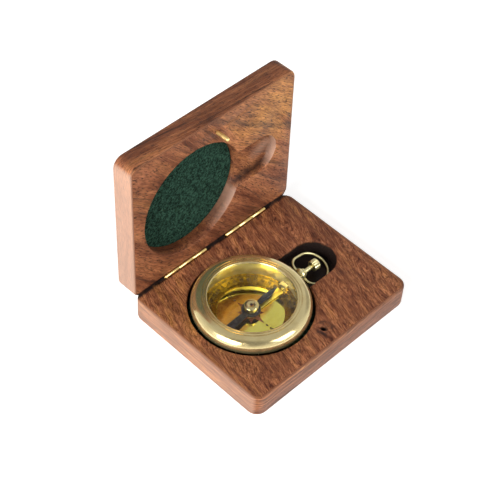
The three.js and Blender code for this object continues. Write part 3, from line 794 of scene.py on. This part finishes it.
layFelt("base", Matrix.Translation((compassX, compassY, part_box("base_felt")[1].z)), feltSet)
lidFeltMiddle = Matrix.Translation(middleOf("lid_felt")) @ lidSwing @ turnedBy(180, "X")
layFelt("lid", lidFeltMiddle @ movedBy(0, 0, feltSet["thick"] / 2), feltSet)
print("felt laid")

# case of the compass, in millimetres from the underside of the case

caseSet = dict(
    lipRadius=18.4, wallRadius=19.8, wallOuter=22.55, caseInner=22.7, caseRadius=24.2,
    bezelRadius=25.3, bezelRound=4.4, bezelTop=12.0, roundDrop=0.1, fit=0.15, underEase=0.01, lipRound=0.5,
    grooves=(20.55, 19.35), grooveDeep=0.38, grooveMouth=0.22, grooveFloor=0.12, landDrop=0.03,
    floor=1.1, dialTop=1.6, scaleTop=2.1, scaleInner=13.8, crystalLow=10.2, crystalHigh=11.2,
    caseTop=9.6, skirtLow=6.0, bottomRound=2.4, ease=0.12, dialEase=0.05, glassEase=0.1,
    leverSlot=2.0, leverSlotEnd=19.65, leverSlotOver=0.3, stemSlot=0.65, stemSlotTop=4.05, cutOver=1.0,
    roundSteps=28, lipArc=(95, 180, 8), bottomArc=(-90, 0, 12),  # arcs: from, to and steps
)


def bezelProfile(s):
    middleZ = s["bezelTop"] - s["roundDrop"] - s["bezelRound"]
    startAngle = degrees(asin((s["skirtLow"] - middleZ) / s["bezelRound"]))
    skirt, shoulder = s["caseRadius"] + s["fit"], s["caseTop"] + s["fit"]
    under = easedProfile([(s["lipRadius"], s["crystalHigh"]), (s["caseInner"], s["crystalHigh"]),
                          (s["caseInner"], shoulder), (skirt, shoulder), (skirt, s["skirtLow"])],
                         s["underEase"])
    outer = arcPoints(s["bezelRadius"] - s["bezelRound"], middleZ, s["bezelRound"], startAngle, 90,
                      s["roundSteps"])
    land = s["bezelTop"] - s["landDrop"]
    deep = land - s["grooveDeep"]
    grooves = []
    for at in s["grooves"]:
        grooves += [(at + s["grooveMouth"], land), (at + s["grooveFloor"], deep),
                    (at - s["grooveFloor"], deep), (at - s["grooveMouth"], land)]
    lipRound = s["lipRound"]
    lip = arcPoints(s["lipRadius"] + lipRound, s["bezelTop"] - lipRound, lipRound, *s["lipArc"])
    return under + outer + grooves + lip


def caseProfile(s):
    bend = s["bottomRound"]
    rounded = arcPoints(s["caseRadius"] - bend, bend, bend, *s["bottomArc"])
    return [(0.0, 0.0), *rounded, (s["caseRadius"], s["caseTop"]), (s["caseInner"], s["caseTop"]),
            (s["caseInner"], s["floor"]), (0.0, s["floor"])]


# ring or, from the axis, disc with eased edges
def ringProfile(inner, outer, low, high, ease):
    return easedProfile([(inner, low), (outer, low), (outer, high), (inner, high)], ease)


# a turned mesh cut by a slot: its half width, and its ends along the stem and the axis
def slotted(mesh, halfWide, fromRadius, toRadius, low, high):
    work = bmesh.new()
    size = Matrix.Diagonal(((toRadius - fromRadius) * mm, 2 * halfWide * mm, (high - low) * mm, 1.0))
    middle = movedBy((fromRadius + toRadius) / 2, 0, (low + high) / 2)
    bmesh.ops.create_cube(work, size=1.0, matrix=atCompass @ middle @ size)
    cutter = newObject("slot", workMesh("slot", work))
    holder = newObject(mesh.name + "Whole", mesh)
    setAll(holder.modifiers.new("slot", "BOOLEAN"), operation="DIFFERENCE", solver="EXACT", object=cutter)
    result = settled(holder, mesh.name)
    bpy.data.objects.remove(cutter)
    return finishMesh(result)


# only what lies in the scale's plane is cut for the lever
def leverCut(s):
    return (s["leverSlot"], s["scaleInner"] - s["cutOver"], s["leverSlotEnd"],
            s["dialTop"] - s["leverSlotOver"], s["scaleTop"] + s["leverSlotOver"])


def stemCut(s):
    return (s["stemSlot"], s["wallRadius"] - s["cutOver"], s["wallOuter"] + s["cutOver"],
            s["scaleTop"] - s["cutOver"], s["stemSlotTop"])


def turnedPiece(name, profile, material, slotName, *stoodFor, body="compass", segments=144, cut=None):
    mesh = turnedMesh(name, profile, atCompass, segments)
    if cut:
        mesh = slotted(mesh, *cut(caseSet))
    newPiece(name, mesh, material, body, slotName, *stoodFor)


def makeCase(s):
    outer = s["wallOuter"]
    wall = ringProfile(s["wallRadius"], outer, s["scaleTop"], s["crystalLow"], s["ease"])
    scale = ringProfile(s["scaleInner"], outer, s["dialTop"], s["scaleTop"], s["ease"])
    dial = ringProfile(0.0, outer, s["floor"], s["dialTop"], s["dialEase"])
    crystal = ringProfile(0.0, outer, s["crystalLow"], s["crystalHigh"], s["glassEase"])
    turnedPiece("bezel_brass", bezelProfile(s), bezelBrass, "brass", "bezel")
    turnedPiece("case_brass", caseProfile(s), polishedBrass, "brass", "case_body")
    turnedPiece("wall_brass", wall, wallBrass, "brass", "wall_ring", cut=stemCut)
    turnedPiece("scale_brass", scale, scaleBrass, "dial_brass", "scale_ring", cut=leverCut)
    turnedPiece("dial_brass", dial, satinBrass, "dial_brass", "dial")
    turnedPiece("crystal_glass", crystal, watchGlass, "glass", "crystal")


makeCase(caseSet)
print("case and glass made")

# scale: ticks in two lengths, numbers, points of the compass and a small rose

scaleSet = dict(
    fine_ticks=dict(count=180, inner=18.0, outer=19.2, wide=0.34),
    long_ticks=dict(count=36, inner=17.8, outer=19.6, wide=0.48),
    lineAt=15.65, lineWide=0.14, lineEase=0.005, proud=0.03,
    numberAt=16.75, numberSize=1.8, boldness=0.08, step=10, slotAt=90, letterAt=11.3, letterSize=2.2,
    gemAt=8.9, gemSize=0.75, gemSlim=0.7, roseLong=7.6, roseShort=5.4, roseWaist=3.1, roseTurn=4.0,
    rosePoints=8, curveSteps=3,
)
scaleTop, dialTop = caseSet["scaleTop"], caseSet["dialTop"]


def makeTickTree():
    inputs = dict(Geometry="Geometry", Count="Int", Radius="Float", Tick="Vector", Height="Float",
                  Gap="Float", Material="Material")
    tree, given, made = newGroup("scaleTicks", "GeometryNodeTree", inputs, dict(Geometry="Geometry"))
    circle = add("GeometryNodeMeshCircle", {"Vertices": given["Count"], "Radius": given["Radius"]})[0]
    tick = add("GeometryNodeMeshCube", {"Size": given["Tick"]})[0]
    angle = times(add("GeometryNodeInputIndex", {}, tree)[0], calc("DIVIDE", 2 * pi, given["Count"]))
    facing = add("FunctionNodeEulerToRotation", {0: joinXyz(0.0, 0.0, angle)})[0]
    x, y = splitXyz(add("GeometryNodeInputPosition", {}, tree)[0])[:2]
    besideGap = calc("GREATER_THAN", calc("ABSOLUTE", y), given["Gap"])
    clear = largest(besideGap, calc("LESS_THAN", x, 0.0))
    placed = add("GeometryNodeInstanceOnPoints",
                 {"Points": circle, "Selection": clear, "Instance": tick, "Rotation": facing})[0]
    lift = joinXyz(0.0, 0.0, given["Height"])
    lifted = add("GeometryNodeTransform", {"Geometry": placed, "Translation": lift})[0]
    endTree(made, lifted, given["Material"])
    return tree


tickTree = makeTickTree()


def addTicks(name, s):
    values = {"Count": s["count"], "Radius": (s["inner"] + s["outer"]) / 2 * mm,
              "Tick": ((s["outer"] - s["inner"]) * mm, s["wide"] * mm, 2 * scaleSet["proud"] * mm),
              "Height": scaleTop * mm, "Gap": (caseSet["leverSlot"] + s["wide"]) * mm, "Material": markInk}
    mesh = runTree(name, tickTree, bpy.data.meshes.new(name + "Start"), values)
    mesh.transform(atCompass)
    newPiece(name, mesh, markInk, "compass", "dial_brass")


def textMesh(words, size):
    s = scaleSet
    curve = bpy.data.curves.new("words", "FONT")
    setAll(curve, body=words, size=size * mm, align_x="CENTER", align_y="CENTER",
           extrude=s["proud"] * mm, offset=s["boldness"] * mm, resolution_u=s["curveSteps"])
    return settled(newObject("words", curve), "words")


def polar(radius, angle):
    return radius * cos(radians(angle)), radius * sin(radians(angle))


# words joined in one piece: (text, bearing) pairs round the dial
def addWords(name, words, size, radius, height):
    meshes = []
    for text, bearing in words:
        mesh = textMesh(text, size)
        mesh.transform(atCompass @ movedBy(*polar(radius, 90 - bearing), height) @ turnedBy(-bearing, "Z"))
        meshes.append(mesh)
    newPiece(name, workMesh(name, joined(meshes, sameSpot)), markInk, "compass", "dial_brass")


# flat printed shapes that stand a little proud of the dial
def addPrint(name, outlines, material):
    work = bmesh.new()
    proud = scaleSet["proud"] * mm
    for outline in outlines:
        top = [work.verts.new((x * mm, y * mm, proud)) for x, y in outline]
        low = [work.verts.new((x * mm, y * mm, -proud)) for x, y in outline]
        work.faces.new(top)
        work.faces.new(list(reversed(low)))
        for k in range(len(outline)):
            after = (k + 1) % len(outline)
            work.faces.new((low[k], low[after], top[after], top[k]))
    mesh = workMesh(name, work)
    mesh.transform(atCompass @ movedBy(0, 0, dialTop) @ turnedBy(scaleSet["roseTurn"], "Z"))
    newPiece(name, mesh, material, "compass", "dial_brass")


def addRose(s):
    star = []
    step = 360 / s["rosePoints"]
    for k in range(s["rosePoints"]):
        star.append(polar(s["roseShort"] if k % 2 else s["roseLong"], step * k))
        star.append(polar(s["roseWaist"], step * (k + 0.5)))
    addPrint("rose_star", [star], roseInk)
    at, size = s["gemAt"], s["gemSize"]
    side = degrees(s["gemSlim"] * size / at)
    gems = []
    for angle in (0, 90, 180, 270):
        gems.append([polar(at - size, angle), polar(at, angle - side),
                     polar(at + size, angle), polar(at, angle + side)])
    addPrint("rose_gems", gems, markInk)


def makeScale(s):
    for name in ("fine_ticks", "long_ticks"):
        addTicks(name, s[name])
    numbers = [(str(bearing), bearing) for bearing in range(0, 360, s["step"]) if bearing != s["slotAt"]]
    addWords("degree_numbers", numbers, s["numberSize"], s["numberAt"], scaleTop)
    letters = [(letter, 90 * quarter - s["roseTurn"]) for quarter, letter in enumerate("NESW")]
    addWords("point_letters", letters, s["letterSize"], s["letterAt"], dialTop)
    addRose(s)
    line = ringProfile(s["lineAt"], s["lineAt"] + s["lineWide"], scaleTop - s["proud"], scaleTop + s["proud"],
                       s["lineEase"])
    turnedPiece("scale_line", line, markInk, "dial_brass", cut=leverCut)


makeScale(scaleSet)
print("scale and rose made")

# needle, pivot and arrest lever

capSet = dict(
    radius=3.0, low=3.8, rim=2.5, height=3.0, edge=0.08, dimple=1.7, dimpleDeep=0.25, pit=0.65,
    spigot=1.35, bore=0.95, ceiling=6.25, needleLow=3.4, domeSteps=12, dipSteps=6, segments=72,
)


def capProfile(s):
    radius, low = s["radius"], s["low"]
    dome, dip = [], []
    for k in range(s["domeSteps"] + 1):
        reach = radius + (s["dimple"] - radius) * k / s["domeSteps"]
        lift = sqrt(max(0.0, 1 - (reach / radius) ** 2))
        dome.append((reach, low + s["rim"] + (s["height"] - s["rim"]) * lift))
    for k in range(1, s["dipSteps"] + 1):
        share = k / s["dipSteps"]
        dip.append((s["dimple"] + (s["pit"] - s["dimple"]) * share,
                    dome[-1][1] - s["dimpleDeep"] * sin(pi / 2 * share)))
    return [(s["bore"], s["needleLow"]), (s["spigot"], s["needleLow"]), (s["spigot"], low),
            (radius - s["edge"], low), (radius, low + s["edge"]), *dome, *dip,
            (s["pit"], s["ceiling"]), (s["bore"], s["ceiling"])]


turnedPiece("needle_cap_brass", capProfile(capSet), polishedBrass, "brass", "needle_cap", body="needle",
            segments=capSet["segments"])

needleSet = dict(
    reach=16.5, hub=4.0, hole=1.4, root=0.95, broad=1.3, broadAt=0.42, tailRoot=1.3, tail=1.7,
    low=3.4, thick=0.4, ease=0.06, easeSteps=1, leafSteps=16, hubSteps=20, holeArc=(0, -350, 35),
    tipShare=0.95,
)


# heading of the needle in degrees, from the corners furthest out towards the crown
def needleTurn(s):
    corners = [atCompass.inverted() @ vertex.co for vertex in nodes["needle"].data.vertices]
    furthest = max(corner.x for corner in corners)
    far = [corner for corner in corners if corner.x > s["tipShare"] * furthest]
    middle = sum(far, Vector()) / len(far)
    return degrees(atan2(middle.y, middle.x))


# half of the outline: a leaf that ends in a point, the round hub, and a blade that widens to its tail
def needleSide(s):
    start = sqrt(s["hub"] ** 2 - s["root"] ** 2)
    leaf = []
    for k in range(s["leafSteps"]):
        share = k / s["leafSteps"]
        if share < s["broadAt"]:
            half = s["root"] + (s["broad"] - s["root"]) * sin(pi / 2 * share / s["broadAt"])
        else:
            half = s["broad"] * cos(pi / 2 * (share - s["broadAt"]) / (1 - s["broadAt"]))
        leaf.append((start + (s["reach"] - start) * share, half))
    rootAngle = degrees(asin(s["root"] / s["hub"]))
    tailAngle = degrees(asin(s["tailRoot"] / s["hub"]))
    hub = arcPoints(0.0, 0.0, s["hub"], rootAngle, 180 - tailAngle, s["hubSteps"])
    return list(reversed(leaf)) + hub[1:] + [(-s["reach"], s["tail"])]


def lineCurve(name, dimensions, lines, closed):
    curve = bpy.data.curves.new(name, "CURVE")
    curve.dimensions = dimensions
    for line in lines:
        spline = curve.splines.new("POLY")
        spline.points.add(len(line) - 1)
        for point, (x, y) in zip(spline.points, line):
            point.co = (x * mm, y * mm, 0.0, 1.0)
        spline.use_cyclic_u = closed
    return curve


# flat plate with a round hole, its edges eased
def makeNeedle(name, s):
    upper = needleSide(s)
    lower = [(x, -y) for x, y in reversed(upper)]
    hole = arcPoints(0.0, 0.0, s["hole"], *s["holeArc"])
    curve = lineCurve(name, "2D", [[(s["reach"], 0.0)] + upper + lower, hole], True)
    setAll(curve, fill_mode="BOTH", extrude=(s["thick"] / 2 - s["ease"]) * mm,
           bevel_depth=s["ease"] * mm, bevel_resolution=s["easeSteps"], offset=-s["ease"] * mm)
    mesh = settled(newObject(name + "Outline", curve), name)
    mesh.transform(atCompass @ movedBy(0, 0, s["low"] + s["thick"] / 2) @ turnedBy(needleTurn(s), "Z"))
    work = joined([mesh], sameSpot)
    bmesh.ops.recalc_face_normals(work, faces=work.faces)
    return finishMesh(workMesh(name, work))


newPiece("needle_steel", makeNeedle("needle_steel", needleSet), bluedSteel, "needle", "steel", "needle")
smallPieces = (
    ("needle_jewel", "jewel_stone", 0.05, darkAgate, "needle", "jewel"),
    ("pivot_post", "post_brass", 0.1, polishedBrass, "compass", "brass"),
    ("pivot_pin", "pivot_steel", 0.05, bluedSteel, "compass", "steel"),
    ("lever_bracket", "bracket_brass", 0.1, polishedBrass, "compass", "brass"),
    ("lever_pin", "lever_pin_steel", 0.05, bluedSteel, "compass", "steel"),
    ("lift_lever", "lever_brass", 0.06, leverBrass, "lever", "brass"),
    ("pendant", "pendant_brass", 0.08, wireBrass, "compass", "brass"),
    ("lock_stem", "stem_brass", 0.08, wireBrass, "lock", "brass"),
)
for row in smallPieces:
    easedPiece(*row)
print("needle, pivot and lever made")

# crown with rounded flutes, and the wire bow

crownSet = dict(
    start=35.675, axisHeight=3.4, length=3.6, radius=2.4, bore=1.15, boreDeep=2.3,
    dome=0.6, domeGap=0.1, domeArc=(8, 82, 10),
    face=((0.3, 0.0), (0.12, 0.06), (0.0, 0.28)),
    flutes=16, fluteDepth=0.22, fluteIn=0.45, fluteFade=0.35, fluteShape=0.7, fluteSegments=8,
)


def fluted(angle, radius, height):
    s = crownSet
    atRim = max(0.0, min(1.0, (radius - s["radius"] + s["fluteIn"]) / s["fluteFade"]))
    wave = (0.5 - 0.5 * cos(s["flutes"] * angle)) ** s["fluteShape"]
    return radius - s["fluteDepth"] * atRim * wave, height


def makeCrown(name, s):
    radius, domeLow = s["radius"], s["length"] - s["dome"]
    face = [(radius - inward, up) for inward, up in s["face"]]
    arc = arcPoints(0.0, 0.0, 1.0, *s["domeArc"])
    top = [(radius * across, domeLow + s["dome"] * up) for across, up in arc]
    profile = [(0.0, s["boreDeep"]), (s["bore"], s["boreDeep"]), (s["bore"], 0.0), *face,
               (radius, domeLow - s["domeGap"]), *top, (0.0, s["length"])]
    place = atCompass @ movedBy(s["start"], 0, s["axisHeight"]) @ turnedBy(90, "Y")
    return turnedMesh(name, profile, place, s["flutes"] * s["fluteSegments"], fluted)


newPiece("crown_brass", makeCrown("crown_brass", crownSet), wireBrass, "lock", "brass", "lock_crown")

bowSet = dict(
    axis=28.975, height=3.4, wire=1.15, radius=7.4, straight=3.2, pinEnd=1.75,
    twist=14.0, droop=9.5, arcSteps=22, sides=6,
)


# middle line of the wire, from the end of one pin to the other
def bowLine(s):
    bend = s["radius"] - s["straight"]
    points = [(0.0, s["pinEnd"])]
    points += arcPoints(bend, s["straight"], bend, 180, 90, s["arcSteps"] // 2)
    points += arcPoints(s["radius"], 0.0, s["radius"], 90, -90, 2 * s["arcSteps"])
    points += arcPoints(bend, -s["straight"], bend, -90, -180, s["arcSteps"] // 2)
    points.append((0.0, -s["pinEnd"]))
    return points


def makeBow(name, s):
    curve = lineCurve(name, "3D", [bowLine(s)], False)
    setAll(curve, bevel_depth=s["wire"] / 2 * mm, bevel_resolution=s["sides"], use_fill_caps=True)
    mesh = settled(newObject(name + "Line", curve), name)
    tilt = turnedBy(s["twist"], "X") @ turnedBy(s["droop"], "Y")
    mesh.transform(atCompass @ movedBy(s["axis"], 0, s["height"]) @ tilt)
    return finishMesh(mesh)


newPiece("bow_wire", makeBow("bow_wire", bowSet), wireBrass, "bow", "brass", "bow")
print("crown and bow made")

# floor, light and camera

stageSet = dict(
    floor={"Base Color": (0.90, 0.90, 0.90, 1.0), "Roughness": 0.9, "Specular IOR Level": 0.1,
           "Emission Color": (1.0, 1.0, 1.0, 1.0)},
    floorSize=3.0, floorDrop=0.0002, floorGlow=(0.25, 0.60, 0.55, 1.0),
    ambient=0.22, ceiling=(0.15, 0.9, 1.0, 0.50),
    dim=(((-0.497, -0.446, 0.743), (0.80, 0.96, 1.0, 0.26)), ((0.93, -0.03, 0.37), (0.93, 0.985, 1.0, 0.45))),
    lampTarget=(0.0, 0.0, 0.02),
)
lampSet = dict(
    leftSoftbox=dict(towards=(-0.88, -0.12, 0.46), distance=0.75, size=0.42, power=7.5,
                     color=(1.0, 0.98, 0.95)),
    frontSoftbox=dict(towards=(0.25, -0.80, 0.60), distance=0.90, size=0.45, power=3.8,
                      color=(1.0, 0.99, 0.97)),
)


def whiteToEye(tree):
    path = add("ShaderNodeLightPath", {}, tree)
    return largest(path["Is Camera Ray"], path["Is Glossy Ray"], path["Is Transmission Ray"])


def makeFloor(s):
    material, shader = newMaterial("paleFloor", s["floor"])
    glow = spread(vectorCalc("LENGTH", objectPlace(material))["Value"], *s["floorGlow"])
    put(shader["Emission Strength"], times(whiteToEye(material.node_tree), glow))
    half = s["floorSize"] / 2
    corners = [(-half, -half, 0), (half, -half, 0), (half, half, 0), (-half, half, 0)]
    mesh = bpy.data.meshes.new("floor")
    mesh.from_pydata(corners, [], [(0, 1, 2, 3)])
    mesh.materials.append(material)
    floor = newObject("floor", mesh)
    floor.location.z = -s["floorDrop"]


# white walls and a greyer ceiling to the eye, with dim patches that the brass mirrors;
# faint light on the part
def makeWorld(s):
    world = bpy.data.worlds.new("paleRoom")
    scene.world = world
    world.use_nodes = True
    background = world.node_tree.nodes["Background"].inputs
    put(background["Color"], (*white, 1.0))
    direction = add("ShaderNodeTexCoord", {}, world.node_tree)["Generated"]
    shown = spread(splitXyz(direction)[2], *s["ceiling"])
    for towards, patch in s["dim"]:
        shown = times(shown, spread(along(direction, towards), *patch))
    seen = whiteToEye(world.node_tree)
    put(background["Strength"], calc("MULTIPLY_ADD", seen, shown, times(outside(seen), s["ambient"])))


def makeLamp(name, s):
    lamp = bpy.data.lights.new(name, "AREA")
    setAll(lamp, energy=s["power"], size=s["size"], color=s["color"])
    holder = newObject(name, lamp)
    away = Vector(s["towards"]).normalized()
    holder.location = Vector(stageSet["lampTarget"]) + away * s["distance"]
    holder.rotation_euler = away.to_track_quat("Z", "Y").to_euler()


makeFloor(stageSet)
makeWorld(stageSet)
for name, lamp in lampSet.items():
    makeLamp(name, lamp)

cameraSet = dict(
    azimuth=-48.172, elevation=47.975, roll=4.3995, lens=102.14, sensor=36.0,
    distance=583.6, target=(0.73, 15.05, 27.0), near=0.01, far=20.0,
)


def makeCamera(s):
    camera = bpy.data.cameras.new("photoView")
    setAll(camera, lens=s["lens"], sensor_width=s["sensor"], clip_start=s["near"], clip_end=s["far"])
    holder = newObject("photoView", camera)
    turn = turnedBy(s["azimuth"], "Z") @ turnedBy(90 - s["elevation"], "X") @ turnedBy(s["roll"], "Z")
    holder.matrix_world = movedBy(*s["target"]) @ turn @ movedBy(0, 0, s["distance"])
    scene.camera = holder


makeCamera(cameraSet)
scene.view_settings.view_transform = "Standard"
print("stage set")
